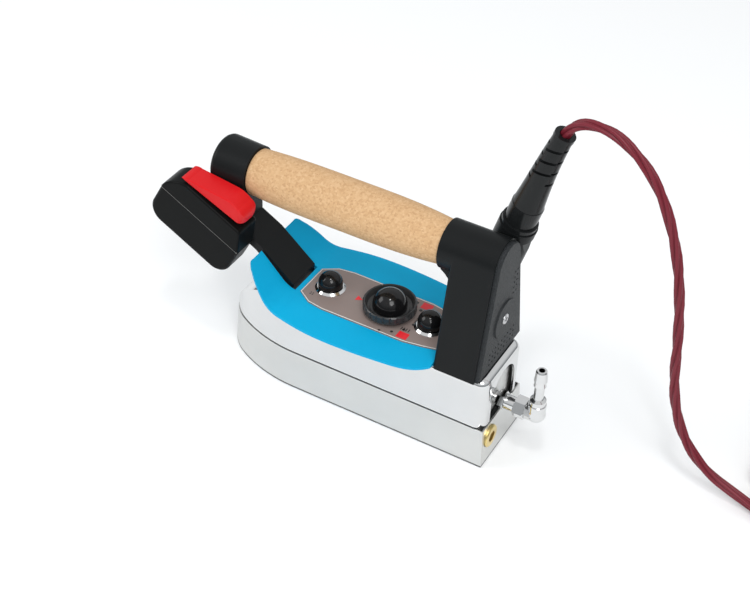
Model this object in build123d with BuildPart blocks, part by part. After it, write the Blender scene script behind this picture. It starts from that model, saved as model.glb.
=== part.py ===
from build123d import *

import os
from math import acos, atan2, cos, degrees, hypot, pi, radians, sin, tan

# Steam generator iron with a narrow sole 220 long, a cork grip and a thumb switch.
# The origin is on the sole's contact face at the middle of the heel.
# +X runs towards the nose, +Y is the operator's left and +Z is up. Units are millimetres.

# ---------------------------------------------------------------- driving dimensions
HALF_WIDTH = 30.5           # half the sole's width
FLANK_START = 153.4         # the straight sides end here, which makes the sole 220 long
FLANK_R, FLANK_TURN = 109.0, 28.5
NOSE_R = 36.8               # second, tighter arc of the flank
SOLE_TOP = 31.5             # top of the cast block
SOLE_DRAFT = 1.8            # the block leans in by this much at its top
SEAL_THICKNESS = 0.8
COVER_BASE = SOLE_TOP + SEAL_THICKNESS
COVER_TOP = 74.0
NOSE_START = 172.0          # the cover's top slopes down from here to the nose
COVER_INSET = 2.4           # the cover's side is this far inside the sole's bottom edge
SHEET = 1.6                 # chromed sheet of the cover

SHIELD_THICKNESS = 2.0
SHIELD_TOP = 77.3
SHIELD_BASE = SHIELD_TOP - SHIELD_THICKNESS
LABEL_THICKNESS = 0.8
LABEL_TOP = SHIELD_TOP + LABEL_THICKNESS
STUD_R = 3.0
STUD_X = {"front": 140.5, "rear": 61.0}

DIAL_X = 92.6
DIAL_R = 19.0
DOME_R = 12.3

HANDLE_Z = 155.3
GRIP_REAR, GRIP_FRONT = 51.5, 199.5
GRIP_R_REAR, GRIP_R_MID, GRIP_R_FRONT = 15.4, 18.3, 16.7
ROD_R = 5.0
CAP_R = 18.3                # the cap where it meets the grip
CAP_FLARE = 19.3            # the cap at its front edge
CAP_FRONT = 228.0
LEG_X, LEG_R = 209.8, 17.7  # axis and radius of the cap's leg

COLUMN_REAR, COLUMN_FRONT = 10.4, 41.6
COLUMN_BASE = 74.7
COLUMN_HALF = 32.5
COLUMN_R = 17.3
PLATE_REAR = 7.2
EMBOSS_Z = 110.6

ARM_HALF = 14.0             # half the width of the front strap
BOX_NEAR, BOX_FAR = 38.8, 17.6
BOX_TILT = 28.6             # degrees that the switch box leans up towards the nose

INLET_Y, INLET_Z = 3.0, 42.5
ELBOW_X = -25.0

RELIEF_Y = -26.0
CORD_R = 3.6
COIL_R = 40.0
COIL_CENTRE = (-218.0, -70.0)

os.makedirs("parts", exist_ok=True)


def save(piece, label):
    """Label one finished piece and write its STEP file."""
    piece.part.label = label
    export_step(piece.part, f"parts/{label}.step")


# ---------------------------------------------------------------- shared outlines
def bullet(inset, heel=0.0):
    """Plan of the sole: straight sides, a gothic nose of two tangent arcs a side, and a heel of this corner radius."""
    half = HALF_WIDTH - inset
    # The second arc's centre lies below the middle line, so the flanks meet at a blunt point.
    drop = (FLANK_R - NOSE_R) * cos(radians(FLANK_TURN)) - (FLANK_R - HALF_WIDTH)
    nose_turn = degrees(acos(-drop / (NOSE_R - inset))) - FLANK_TURN
    with BuildSketch() as plan:
        with BuildLine():
            side = Line((inset, half), (FLANK_START, half))
            flank = JernArc(side @ 1, (1, 0), FLANK_R - inset, -FLANK_TURN)
            nose = JernArc(flank @ 1, flank % 1, NOSE_R - inset, -nose_turn)
            mirror(side, about=Plane.XZ)
            mirror(flank, about=Plane.XZ)
            mirror(nose, about=Plane.XZ)
            Line((inset, -half), (inset, half))
        make_face()
        fillet(plan.vertices().sort_by(Axis.X)[-1], radius=10 - inset)
        if heel:
            fillet(plan.vertices().sort_by(Axis.X)[:2], radius=heel)
    return plan.sketch


def column_outline(inset):
    """Rear view of the column: wide foot, leaning sides and a round top about the grip."""
    radius = COLUMN_R - inset
    half = COLUMN_HALF - inset
    drop = HANDLE_Z - COLUMN_BASE - inset
    # The side is the tangent from the foot's corner to the round top.
    angle = atan2(-drop, half) + acos(radius / hypot(half, drop))
    touch = (radius * cos(angle), HANDLE_Z + radius * sin(angle))
    foot = COLUMN_BASE + inset
    with BuildSketch() as outline:
        with BuildLine():
            Line((-half, foot), (half, foot))
            Line((half, foot), touch)
            ThreePointArc(touch, (0, HANDLE_Z + radius), (-touch[0], touch[1]))
            Line((-touch[0], touch[1]), (-half, foot))
        make_face()
    return outline.sketch


# ---------------------------------------------------------------- sole block
with BuildPart() as sole_block:
    with BuildSketch():
        add(bullet(0))
    with BuildSketch(Plane.XY.offset(SOLE_TOP)):
        add(bullet(SOLE_DRAFT))
    loft(ruled=True)
    # Boss that takes the steam inlet, inside the cover.
    with BuildSketch(Plane.XY.offset(SOLE_TOP - 1)):
        with Locations((18, INLET_Y)):
            RectangleRounded(16, 18, 3)
    extrude(amount=20)
    with BuildSketch(Plane.YZ.offset(8)):
        with Locations((INLET_Y, INLET_Z)):
            Circle(4.55)
    extrude(amount=14, mode=Mode.SUBTRACT)
    # Tapped port of the rear plug, with a seat for its head.
    with BuildSketch(Plane.YZ):
        with Locations((17.6, 19.8)):
            Circle(6.6)
    extrude(amount=14, mode=Mode.SUBTRACT)
    with BuildSketch(Plane.YZ.offset(-1)):
        with Locations((17.6, 19.8)):
            Circle(8.6)
    extrude(amount=3.4, mode=Mode.SUBTRACT)
    # Channel of the heating element.
    with BuildSketch(Plane.XY.offset(SOLE_TOP)):
        with BuildLine():
            Line((36, -14), (150, -14))
            ThreePointArc((150, -14), (164, 0), (150, 14))
            Line((150, 14), (36, 14))
        trace(line_width=9)
    extrude(amount=-9, mode=Mode.SUBTRACT)
    # Blind holes of the cover studs and of the chamber screws.
    with BuildSketch(Plane.XY.offset(SOLE_TOP)):
        with Locations((STUD_X["front"], 0), (STUD_X["rear"], 0)):
            Circle(STUD_R + 0.05)
    extrude(amount=-12, mode=Mode.SUBTRACT)
    with BuildSketch(Plane.XY.offset(SOLE_TOP)):
        with Locations((78, 0), (120, 0), (180, 0)):
            Circle(2.05)
    extrude(amount=-10, mode=Mode.SUBTRACT)
    # Steam holes of the contact face, in three rows behind the nose.
    with BuildSketch():
        with Locations((188, 0), (172, 0)):
            Circle(1.6)
        with Locations((102, 0)):
            with GridLocations(30, 42, 5, 2):
                Circle(1.6)
    extrude(amount=5, mode=Mode.SUBTRACT)
save(sole_block, "sole_block")

# ---------------------------------------------------------------- inside the cover
ELEMENT_Z = SOLE_TOP - 4.5
with BuildPart() as heater_element:
    with BuildLine(Plane.XY.offset(ELEMENT_Z)) as element_path:
        Line((38, -14), (150, -14))
        ThreePointArc((150, -14), (164, 0), (150, 14))
        Line((150, 14), (38, 14))
    with BuildSketch(Plane(origin=(38, -14, ELEMENT_Z), z_dir=(1, 0, 0))):
        Circle(4.2)
    sweep()
    # Upright cold ends that carry the terminals.
    with BuildSketch(Plane.XY.offset(ELEMENT_Z)):
        with Locations((39.5, -14), (39.5, 14)):
            Circle(2.2)
    extrude(amount=26)
save(heater_element, "heater_element")

with BuildPart() as chamber_plate:
    with BuildSketch(Plane.XY.offset(SOLE_TOP)):
        add(bullet(7.5))
        with Locations((23, 0)):
            Rectangle(50, 60, mode=Mode.SUBTRACT)
        with Locations((STUD_X["front"], 0), (STUD_X["rear"], 0)):
            Circle(STUD_R + 0.4, mode=Mode.SUBTRACT)
        with Locations((78, 0), (120, 0), (180, 0)):
            Circle(2.3, mode=Mode.SUBTRACT)
    extrude(amount=3.5)
save(chamber_plate, "chamber_plate")


def cap_screw(x, shank_r, head_r, grip):
    """Socket screw through the chamber plate, its shank down into the block."""
    top = SOLE_TOP + grip
    with BuildPart() as screw:
        with BuildSketch(Plane.XY.offset(top)):
            with Locations((x, 0)):
                Circle(head_r)
        extrude(amount=head_r)
        with BuildSketch(Plane.XY.offset(top)):
            with Locations((x, 0)):
                Circle(shank_r)
        extrude(amount=-grip - 9)
        with BuildSketch(Plane.XY.offset(top + head_r)):
            with Locations((x, 0)):
                RegularPolygon(0.5 * head_r, 6)
        extrude(amount=-0.6 * head_r, mode=Mode.SUBTRACT)
    return screw


for number, screw_x in enumerate((78, 120, 180), start=1):
    save(cap_screw(screw_x, 2.0, 3.6, 3.5), f"chamber_screw_{number}")

with BuildPart() as thermostat_body:
    with BuildSketch(Plane.XY.offset(SOLE_TOP + 3.5)):
        with Locations((DIAL_X + 2, 0)):
            RectangleRounded(24, 22, 3)
    extrude(amount=22)
    with BuildSketch(Plane.XY.offset(SOLE_TOP + 25.5)):
        with Locations((DIAL_X, 0)):
            Circle(5)
    extrude(amount=14)
    with BuildSketch(Plane.XY.offset(SOLE_TOP + 18)):
        with Locations((DIAL_X, 0)):
            Circle(3.05)
    extrude(amount=30, mode=Mode.SUBTRACT)
save(thermostat_body, "thermostat_body")

# ---------------------------------------------------------------- chromed cover
with BuildPart() as cover_seal:
    with BuildSketch(Plane.XY.offset(SOLE_TOP)):
        add(bullet(COVER_INSET + 0.4))
        add(bullet(COVER_INSET + 4), mode=Mode.SUBTRACT)
    extrude(amount=SEAL_THICKNESS)
save(cover_seal, "cover_seal")


def cover_hull(inset, top, corner):
    """One skin of the cover: the plan raised to its top, rounded, and cut to the nose's slope."""
    with BuildPart() as hull:
        with BuildSketch(Plane.XY.offset(COVER_BASE)):
            add(bullet(COVER_INSET + inset, heel=8.0 - inset))
        extrude(amount=top - COVER_BASE)
        crown = hull.faces().sort_by(Axis.Z)[-1]
        fillet(crown.edges(), radius=corner)
        with BuildSketch(Plane.XZ):
            with BuildLine():
                Polyline((0, 20), (0, 90), (NOSE_START, 90), (NOSE_START, top))
                ThreePointArc((NOSE_START, top), (205 - inset, 57.5 - inset), (217 - inset, 28))
                Polyline((217 - inset, 28), (217 - inset, 20), (0, 20))
            make_face()
        extrude(amount=40, both=True, mode=Mode.INTERSECT)
    return hull.part


with BuildPart() as chrome_cover:
    add(cover_hull(0, COVER_TOP, 6.0))
    add(cover_hull(SHEET, COVER_TOP - SHEET, 4.4), mode=Mode.SUBTRACT)
    # Arched opening in the rear wall, round the steam inlet.
    with BuildSketch(Plane.YZ):
        with BuildLine():
            Polyline((-17.5, COVER_BASE - 1), (-17.5, 50))
            ThreePointArc((-17.5, 50), (0, 67.5), (17.5, 50))
            Polyline((17.5, 50), (17.5, COVER_BASE - 1), (-17.5, COVER_BASE - 1))
        make_face()
    extrude(amount=6, mode=Mode.SUBTRACT)
    # Holes of the studs, of the thermostat's neck and of the wires.
    with BuildSketch(Plane.XY.offset(COVER_TOP + 1)):
        with Locations((STUD_X["front"], 0), (STUD_X["rear"], 0)):
            Circle(STUD_R + 0.3)
        with Locations((DIAL_X, 0)):
            Circle(6)
        with Locations((24, 0)):
            Circle(7)
    extrude(amount=-4, mode=Mode.SUBTRACT)
save(chrome_cover, "chrome_cover")

with BuildPart() as inlet_plate:
    with BuildSketch(Plane.YZ.offset(6.0)):
        with BuildLine():
            Polyline((-23.5, COVER_BASE + 0.5), (-23.5, 48))
            ThreePointArc((-23.5, 48), (0, 70.2), (23.5, 48))
            Polyline((23.5, 48), (23.5, COVER_BASE + 0.5), (-23.5, COVER_BASE + 0.5))
        make_face()
        with Locations((INLET_Y, INLET_Z)):
            Circle(4.8, mode=Mode.SUBTRACT)
    extrude(amount=1.2)
save(inlet_plate, "inlet_plate")

# ---------------------------------------------------------------- studs, shield and label
NUT_BASE = LABEL_TOP + 2.0
for place, stud_x in STUD_X.items():
    with BuildPart() as stud:
        with BuildSketch(Plane.XY.offset(SOLE_TOP - 11)):
            with Locations((stud_x, 0)):
                Circle(STUD_R)
        extrude(amount=NUT_BASE + 5 - SOLE_TOP + 11)
    save(stud, f"stud_{place}")

    with BuildPart() as spacer:
        with BuildSketch(Plane.XY.offset(COVER_TOP)):
            with Locations((stud_x, 0)):
                Circle(9)
                Circle(STUD_R + 0.3, mode=Mode.SUBTRACT)
        extrude(amount=SHIELD_BASE - COVER_TOP)
    save(spacer, f"shield_spacer_{place}")

    with BuildPart() as cup_washer:
        with BuildSketch(Plane.XZ):
            with BuildLine():
                Polyline((stud_x + 3.3, LABEL_TOP), (stud_x + 11.0, LABEL_TOP),
                         (stud_x + 11.0, LABEL_TOP + 0.6), (stud_x + 9.4, NUT_BASE),
                         (stud_x + 3.3, NUT_BASE), (stud_x + 3.3, LABEL_TOP))
            make_face()
        revolve(axis=Axis((stud_x, 0, 0), (0, 0, 1)))
    save(cup_washer, f"cup_washer_{place}")

    with BuildPart() as acorn_nut:
        with BuildSketch(Plane.XZ):
            with BuildLine():
                Polyline((stud_x, NUT_BASE), (stud_x + 8.0, NUT_BASE), (stud_x + 8.8, NUT_BASE + 0.8),
                         (stud_x + 8.8, NUT_BASE + 2.4))
                ThreePointArc((stud_x + 8.8, NUT_BASE + 2.4),
                              (stud_x + 8.8 * sin(pi / 4), NUT_BASE + 2.4 + 8.8 * sin(pi / 4)),
                              (stud_x, NUT_BASE + 11.2))
                Line((stud_x, NUT_BASE + 11.2), (stud_x, NUT_BASE))
            make_face()
        revolve(axis=Axis((stud_x, 0, 0), (0, 0, 1)))
        with BuildSketch(Plane.XY.offset(NUT_BASE)):
            with Locations((stud_x, 0)):
                Circle(STUD_R + 0.05)
        extrude(amount=6, mode=Mode.SUBTRACT)
    save(acorn_nut, f"acorn_nut_{place}")

WING_START, WING_SLOPE, WING_TIP = 157.0, 46.0, 188.0
BEND_R = 20.0
SLOT_REAR = 160.5
with BuildPart() as heat_shield:
    # Side view: a flat sheet whose front turns up, thickened from its centre line.
    with BuildSketch(Plane.XZ):
        with BuildLine():
            middle = SHIELD_TOP - SHIELD_THICKNESS / 2
            flat = Line((COLUMN_FRONT + 0.5, middle), (WING_START, middle))
            turn = JernArc(flat @ 1, flat % 1, BEND_R, WING_SLOPE)
            Line(turn @ 1, turn @ 1 + Vector(28, 28 * tan(radians(WING_SLOPE))))
        trace(line_width=SHIELD_THICKNESS)
    extrude(amount=60, both=True)
    # Plan: bulging sides, and a front edge split by the strap's slot into two wings.
    with BuildSketch(Plane.XY.offset(60)):
        with BuildLine():
            Line((COLUMN_FRONT + 0.5, -34), (COLUMN_FRONT + 0.5, 34))
            left = Spline((COLUMN_FRONT + 0.5, 34), (52, 42), (72, 46.5), (104, 49), (135, 48.2),
                          (160, 43.5), (176, 38.5), (WING_TIP - 3, 32.5))
            ThreePointArc(left @ 1, (WING_TIP - 0.4, 29.8), (WING_TIP, 26))
            Line((WING_TIP, 26), (WING_TIP, -26))
            ThreePointArc((WING_TIP, -26), (WING_TIP - 0.4, -29.8), (WING_TIP - 3, -32.5))
            mirror(left, about=Plane.XZ)
        make_face()
        with Locations(((SLOT_REAR + 200) / 2, 0)):
            Rectangle(200 - SLOT_REAR, 2 * ARM_HALF + 2.0, mode=Mode.SUBTRACT)
        with Locations((STUD_X["front"], 0), (STUD_X["rear"], 0)):
            Circle(STUD_R + 0.3, mode=Mode.SUBTRACT)
        with Locations((DIAL_X, 0)):
            Circle(6.5, mode=Mode.SUBTRACT)
    extrude(amount=60, mode=Mode.INTERSECT)
save(heat_shield, "heat_shield")

with BuildPart() as label_plate:
    with BuildSketch(Plane.XY.offset(SHIELD_TOP)):
        with BuildLine():
            edge = Polyline((COLUMN_FRONT + 0.8, 17), (56, 20.5), (70, 23), (134, 23.4), (146, 21.5),
                            (156.5, 14.5))
            Line((156.5, 14.5), (156.5, -14.5))
            mirror(edge, about=Plane.XZ)
            Line((COLUMN_FRONT + 0.8, -17), (COLUMN_FRONT + 0.8, 17))
        make_face()
        with Locations((STUD_X["front"], 0), (STUD_X["rear"], 0)):
            Circle(STUD_R + 0.3, mode=Mode.SUBTRACT)
        with Locations((DIAL_X, 0)):
            Circle(6.5, mode=Mode.SUBTRACT)
    extrude(amount=LABEL_THICKNESS)
save(label_plate, "label_plate")

# ---------------------------------------------------------------- temperature dial
DISH_BASE = LABEL_TOP + 2.6
with BuildPart() as dial_shaft:
    with BuildSketch(Plane.XY.offset(SOLE_TOP + 19)):
        with Locations((DIAL_X, 0)):
            Circle(3.0)
    extrude(amount=DISH_BASE + 6 - SOLE_TOP - 19)
save(dial_shaft, "dial_shaft")

with BuildPart() as dial_skirt:
    with BuildSketch(Plane.XZ):
        with BuildLine():
            Polyline((DIAL_X + 3.05, DISH_BASE), (DIAL_X + 18.4, DISH_BASE), (DIAL_X + DIAL_R, DISH_BASE + 1),
                     (DIAL_X + DIAL_R, DISH_BASE + 5.8), (DIAL_X + 18.3, DISH_BASE + 6.6),
                     (DIAL_X + 17.4, DISH_BASE + 6.2), (DIAL_X + 15.6, DISH_BASE + 2.6),
                     (DIAL_X + 13.6, DISH_BASE + 1.8), (DIAL_X + 3.05, DISH_BASE + 1.8),
                     (DIAL_X + 3.05, DISH_BASE))
        make_face()
    revolve(axis=Axis((DIAL_X, 0, 0), (0, 0, 1)))
    # Grip scallops round the rim.
    with BuildSketch(Plane.XY.offset(DISH_BASE + 2)):
        with Locations((DIAL_X, 0)):
            with PolarLocations(DIAL_R + 0.5, 24):
                Circle(1.0)
    extrude(amount=6, mode=Mode.SUBTRACT)
save(dial_skirt, "dial_skirt")

with BuildPart() as dial_knob:
    with BuildSketch(Plane.XZ):
        with BuildLine():
            dome_base = DISH_BASE + 1.8
            Polyline((DIAL_X, dome_base), (DIAL_X + DOME_R, dome_base), (DIAL_X + DOME_R, dome_base + 1.6))
            ThreePointArc((DIAL_X + DOME_R, dome_base + 1.6),
                          (DIAL_X + DOME_R * cos(pi / 4), dome_base + 1.6 + DOME_R * sin(pi / 4)),
                          (DIAL_X, dome_base + 1.6 + DOME_R))
            Line((DIAL_X, dome_base + 1.6 + DOME_R), (DIAL_X, dome_base))
        make_face()
    revolve(axis=Axis((DIAL_X, 0, 0), (0, 0, 1)))
    with BuildSketch(Plane.XY.offset(dome_base)):
        with Locations((DIAL_X, 0)):
            Circle(3.0)
    extrude(amount=4.2, mode=Mode.SUBTRACT)
save(dial_knob, "dial_knob")

# ---------------------------------------------------------------- rear column
with BuildPart() as column_gasket:
    with BuildSketch(Plane.XY.offset(COVER_TOP)):
        with Locations(((COLUMN_REAR + COLUMN_FRONT) / 2, 0)):
            Rectangle(COLUMN_FRONT - COLUMN_REAR - 1, 2 * COLUMN_HALF - 14)
            Rectangle(COLUMN_FRONT - COLUMN_REAR - 8, 2 * COLUMN_HALF - 22, mode=Mode.SUBTRACT)
    extrude(amount=COLUMN_BASE - COVER_TOP)
save(column_gasket, "column_gasket")

# The cable leaves by a boss on the column's right side, which leans back.
RELIEF_LEAN = 16.0
BOSS_R = 13.2
RELIEF_FOOT = Vector(27.0, RELIEF_Y, 128.0)
RELIEF_WAY = Vector(-sin(radians(RELIEF_LEAN)), 0, cos(radians(RELIEF_LEAN)))
RELIEF_MOUTH = RELIEF_FOOT + RELIEF_WAY * 43.5
relief_plane = Plane(origin=RELIEF_FOOT, x_dir=(cos(radians(RELIEF_LEAN)), 0, sin(radians(RELIEF_LEAN))),
                     z_dir=RELIEF_WAY)
WALL = 3.0
with BuildPart() as column_shell:
    with BuildSketch(Plane.YZ.offset(COLUMN_REAR)):
        add(column_outline(0))
    extrude(amount=COLUMN_FRONT - COLUMN_REAR)
    side_edges = column_shell.faces().sort_by(Axis.X)[-1].edges().filter_by(GeomType.LINE)
    fillet(side_edges.sort_by(Axis.Z)[1:], radius=2.5)
    # Collar that holds the rear end of the grip, with a curved gusset under it.
    with BuildSketch(Plane.YZ.offset(COLUMN_FRONT - 4)):
        with Locations((0, HANDLE_Z)):
            Circle(COLUMN_R)
    extrude(amount=GRIP_REAR - COLUMN_FRONT + 4)
    with BuildSketch(Plane.XZ):
        with BuildLine():
            Polyline((COLUMN_FRONT - 4, 126), (COLUMN_FRONT, 126))
            ThreePointArc((COLUMN_FRONT, 126), (COLUMN_FRONT + 3.2, 135), (GRIP_REAR - 0.6, 141))
            Polyline((GRIP_REAR - 0.6, 141), (GRIP_REAR - 0.6, 150), (COLUMN_FRONT - 4, 150),
                     (COLUMN_FRONT - 4, 126))
        make_face()
    extrude(amount=11, both=True)
    # Boss of the cable.
    with BuildSketch(relief_plane):
        Circle(BOSS_R)
    extrude(amount=43.5)
    with BuildSketch(relief_plane):
        Circle(BOSS_R)
    extrude(amount=-24, taper=12)
    # It is cut back to make room for the rear plate, and flush with it beside it.
    with BuildSketch(Plane.YZ.offset(COLUMN_REAR)):
        add(column_outline(0.9))
    extrude(amount=-20, mode=Mode.SUBTRACT)
    with BuildSketch(Plane.YZ.offset(PLATE_REAR)):
        with Locations((-40, 100)):
            Rectangle(60, 120)
    extrude(amount=-20, mode=Mode.SUBTRACT)
    # Hollow, open to the rear.
    with BuildSketch(Plane.YZ.offset(COLUMN_REAR)):
        add(column_outline(WALL))
    extrude(amount=COLUMN_FRONT - COLUMN_REAR - WALL, mode=Mode.SUBTRACT)
    # Step that the rear plate sits in, post of its screw, and wire holes.
    with BuildSketch(Plane.YZ.offset(COLUMN_REAR)):
        with Locations((0, EMBOSS_Z)):
            Circle(4.5)
    extrude(amount=COLUMN_FRONT - COLUMN_REAR - 1)
    with BuildSketch(Plane.YZ.offset(COLUMN_REAR)):
        with Locations((0, EMBOSS_Z)):
            Circle(1.95)
    extrude(amount=20, mode=Mode.SUBTRACT)
    with BuildSketch(relief_plane):
        Circle(4.2)
    extrude(amount=50, mode=Mode.SUBTRACT)
    with BuildSketch(Plane.XY.offset(COLUMN_BASE - 1)):
        with Locations((24, 0)):
            Circle(7)
    extrude(amount=6, mode=Mode.SUBTRACT)
    # Bore of the handle's tie rod.
    with BuildSketch(Plane.YZ.offset(COLUMN_FRONT - WALL - 1)):
        with Locations((0, HANDLE_Z)):
            Circle(ROD_R + 0.1)
    extrude(amount=30, mode=Mode.SUBTRACT)
save(column_shell, "column_shell")

with BuildPart() as column_plate:
    with BuildSketch(Plane.YZ.offset(PLATE_REAR)):
        add(column_outline(1.2))
    extrude(amount=COLUMN_REAR - PLATE_REAR)
    chamfer(column_plate.faces().sort_by(Axis.X)[0].edges(), length=0.8)
    with BuildSketch(Plane.YZ.offset(PLATE_REAR)):
        with Locations((0, EMBOSS_Z)):
            Circle(14.5)
    extrude(amount=-1.0, taper=20)
    with BuildSketch(Plane.YZ.offset(PLATE_REAR - 2)):
        with Locations((0, EMBOSS_Z)):
            Circle(2.1)
    extrude(amount=6, mode=Mode.SUBTRACT)
    with BuildSketch(Plane.YZ.offset(PLATE_REAR - 2)):
        with Locations((0, EMBOSS_Z)):
            Circle(4.2)
    extrude(amount=2.4, mode=Mode.SUBTRACT)
    # Vents: a field over the foot and a field up the right side.
    with BuildSketch(Plane.YZ.offset(PLATE_REAR - 1)):
        with Locations((0, 87)):
            with GridLocations(4.4, 4.4, 9, 3):
                Circle(0.8)
        with Locations((-12.5, 134)):
            with GridLocations(3.8, 4.4, 2, 5):
                Circle(0.8)
    extrude(amount=6, mode=Mode.SUBTRACT)
save(column_plate, "column_plate")

with BuildPart() as plate_screw:
    with BuildSketch(Plane.YZ.offset(PLATE_REAR + 0.4)):
        with Locations((0, EMBOSS_Z)):
            Circle(1.9)
    extrude(amount=18)
    with BuildSketch(Plane.YZ.offset(PLATE_REAR + 0.4)):
        with Locations((0, EMBOSS_Z)):
            Circle(3.9)
    extrude(amount=-2.0)
    fillet(plate_screw.faces().sort_by(Axis.X)[0].edges(), radius=0.8)
    with BuildSketch(Plane.YZ.offset(PLATE_REAR - 1.6)):
        with Locations((0, EMBOSS_Z)):
            Rectangle(4.6, 0.9)
            Rectangle(0.9, 4.6)
    extrude(amount=1.2, mode=Mode.SUBTRACT)
save(plate_screw, "plate_screw")

with BuildPart() as terminal_block:
    with BuildSketch(Plane.XY.offset(COLUMN_BASE + 6)):
        with Locations((28, 0)):
            Rectangle(14, 34)
    extrude(amount=16)
    with BuildSketch(Plane.XY.offset(COLUMN_BASE + 22)):
        with Locations((28, 0)):
            with GridLocations(8, 8, 1, 4):
                Circle(2.2)
    extrude(amount=-5, mode=Mode.SUBTRACT)
save(terminal_block, "terminal_block")

with BuildPart() as thermal_fuse:
    with BuildSketch(Plane.XZ.offset(-9)):
        with Locations((30, 100)):
            Circle(2.6)
    extrude(amount=18)
save(thermal_fuse, "thermal_fuse")

# ---------------------------------------------------------------- grip
with BuildPart() as cork_grip:
    with BuildSketch(Plane.XZ):
        with BuildLine():
            middle_x = (GRIP_REAR + GRIP_FRONT) / 2
            Line((GRIP_REAR, HANDLE_Z + ROD_R + 0.1), (GRIP_REAR, HANDLE_Z + GRIP_R_REAR - 0.8))
            Line((GRIP_REAR, HANDLE_Z + GRIP_R_REAR - 0.8), (GRIP_REAR + 0.8, HANDLE_Z + GRIP_R_REAR))
            Spline((GRIP_REAR + 0.8, HANDLE_Z + GRIP_R_REAR), (middle_x - 42, HANDLE_Z + GRIP_R_MID - 0.5),
                   (middle_x, HANDLE_Z + GRIP_R_MID), (middle_x + 42, HANDLE_Z + GRIP_R_MID - 0.2),
                   (GRIP_FRONT - 0.8, HANDLE_Z + GRIP_R_FRONT))
            Line((GRIP_FRONT - 0.8, HANDLE_Z + GRIP_R_FRONT), (GRIP_FRONT, HANDLE_Z + GRIP_R_FRONT - 0.8))
            Line((GRIP_FRONT, HANDLE_Z + GRIP_R_FRONT - 0.8), (GRIP_FRONT, HANDLE_Z + ROD_R + 0.1))
            Line((GRIP_FRONT, HANDLE_Z + ROD_R + 0.1), (GRIP_REAR, HANDLE_Z + ROD_R + 0.1))
        make_face()
    revolve(axis=Axis((0, 0, HANDLE_Z), (1, 0, 0)))
save(cork_grip, "cork_grip")

with BuildPart() as tie_rod:
    with BuildSketch(Plane.YZ.offset(COLUMN_FRONT - WALL - 7)):
        with Locations((0, HANDLE_Z)):
            RegularPolygon(8.5, 6)
    extrude(amount=7)
    with BuildSketch(Plane.YZ.offset(COLUMN_FRONT - WALL)):
        with Locations((0, HANDLE_Z)):
            Circle(ROD_R)
    extrude(amount=GRIP_FRONT + 14 - COLUMN_FRONT + WALL)
save(tie_rod, "tie_rod")

# ---------------------------------------------------------------- front cap, leg and strap
with BuildPart() as front_cap:
    with BuildSketch(Plane.XZ):
        with BuildLine():
            Polyline((CAP_FRONT, HANDLE_Z), (GRIP_FRONT, HANDLE_Z), (GRIP_FRONT, HANDLE_Z + CAP_R),
                     (CAP_FRONT - 4, HANDLE_Z + CAP_FLARE))
            ThreePointArc((CAP_FRONT - 4, HANDLE_Z + CAP_FLARE), (CAP_FRONT - 1.1, HANDLE_Z + CAP_FLARE - 1.5),
                          (CAP_FRONT, HANDLE_Z + CAP_FLARE - 5))
            Line((CAP_FRONT, HANDLE_Z + CAP_FLARE - 5), (CAP_FRONT, HANDLE_Z))
        make_face()
    revolve(axis=Axis((0, 0, HANDLE_Z), (1, 0, 0)))
    # Leg, flattened on both sides, down to the strap.
    with BuildSketch(Plane.XY.offset(HANDLE_Z - 4)):
        with Locations((LEG_X, 0)):
            Circle(LEG_R)
        with Locations((GRIP_FRONT + 36.5, 0)):
            Rectangle(60, 2 * ARM_HALF, mode=Mode.INTERSECT)
    extrude(amount=-44)
    with BuildSketch(Plane.XZ):
        with BuildLine():
            Polyline((188, 103.6), (240, 133.0), (240, 60), (188, 60), (188, 103.6))
        make_face()
    extrude(amount=30, both=True, mode=Mode.SUBTRACT)
    with BuildSketch(Plane.YZ.offset(GRIP_FRONT)):
        with Locations((0, HANDLE_Z)):
            Circle(ROD_R + 0.1)
    extrude(amount=15, mode=Mode.SUBTRACT)
save(front_cap, "front_cap")

with BuildPart() as front_arm:
    with BuildSketch(Plane.XZ):
        with BuildLine():
            Polyline((163.0, COVER_TOP + 0.1), (176, COVER_TOP + 0.1), (176, COVER_TOP + 3.4),
                     (169.5, 77.6), (193.5, 98.8), (230, 119.6), (227.4, 125.2), (190, 104.2), (162.2, 80.6),
                     (163.0, COVER_TOP + 0.1))
        make_face()
    extrude(amount=ARM_HALF, both=True)
save(front_arm, "front_arm")

# ---------------------------------------------------------------- switch box
# A frame whose x runs along the box towards the nose, and whose y runs up out of its lid.
# Its plane is the box's left side, and its normal points to the operator's right.
box_along = Vector(cos(radians(BOX_TILT)), 0, sin(radians(BOX_TILT)))
BOX_CORNER = Vector(190.9, BOX_NEAR, 131.6)
BOX_THICK = BOX_NEAR - BOX_FAR
box_side = Plane(origin=BOX_CORNER, x_dir=box_along, z_dir=(0, -1, 0))
LID_DEPTH = 18.0
BOX_DEPTH = 47.5
BOX_LONG = 62.3
SHELL = 2.0
SLOT_ALONG = (20.0, 32.0)   # the lid's slot for the button's stem
PIVOT = (49.5, -3.6)        # the button's hinge
PIN_R = 1.2


def box_at(along, up, across=0.0):
    """A point in the part's frame from distances in the box's own frame."""
    return box_side.from_local_coords(Vector(along, up, across))


def across(depth):
    """The box's side plane, moved in from the left side by a depth."""
    return box_side.offset(depth)


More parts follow.
